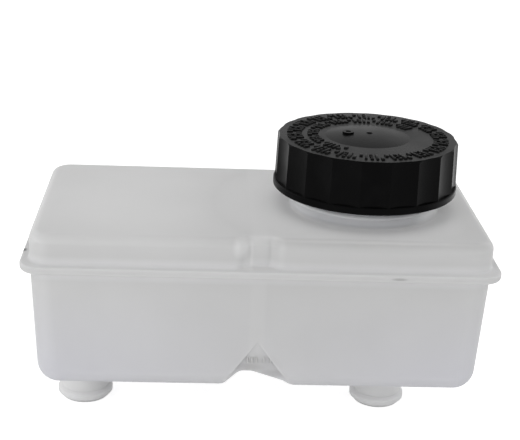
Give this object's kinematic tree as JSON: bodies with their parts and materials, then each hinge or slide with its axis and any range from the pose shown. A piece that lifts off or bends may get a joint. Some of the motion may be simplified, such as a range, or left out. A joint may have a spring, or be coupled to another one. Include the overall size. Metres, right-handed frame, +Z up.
{
  "type": "brake fluid reservoir",
  "caption": "Translucent moulded fluid tank with a weld flange, barbed outlet spigots below and a faceted screw cap on its filler neck.",
  "frame": {"origin": "under the middle of the weld flange, level with the tips of the outlet spigots", "axes": "+Z up along the filler neck, +X along the tank towards the filler neck, -Y towards the front wall with the gable recess"},
  "size_m": [0.1348, 0.0718, 0.0874],
  "materials": {
    "natural_plastic": "translucent satin",
    "white_plastic": "satin",
    "black_plastic": "satin",
    "seal_rubber": "matt"
  },
  "bodies": {
    "tank": {"lower_shell": "natural_plastic", "upper_shell": "natural_plastic", "strainer": "white_plastic"},
    "seal": {"cap_seal": "seal_rubber"},
    "cap": {"cap": "black_plastic"}
  },
  "joints": [
    {"name": "cap_rise", "type": "slide", "parent": "tank", "child": "seal", "axis": [0, 0, 1], "range_m": [0, 0.01501]},
    {"name": "cap_turn", "type": "hinge", "parent": "seal", "child": "cap", "pos_m": [0.031, 0, 0.0789], "axis": [0, 0, 1], "range_deg": [0, 1080]}
  ],
  "couplings": [
    {"joint": "cap_rise", "follows": "cap_turn", "m_per_rad": 0.00079577}
  ]
}
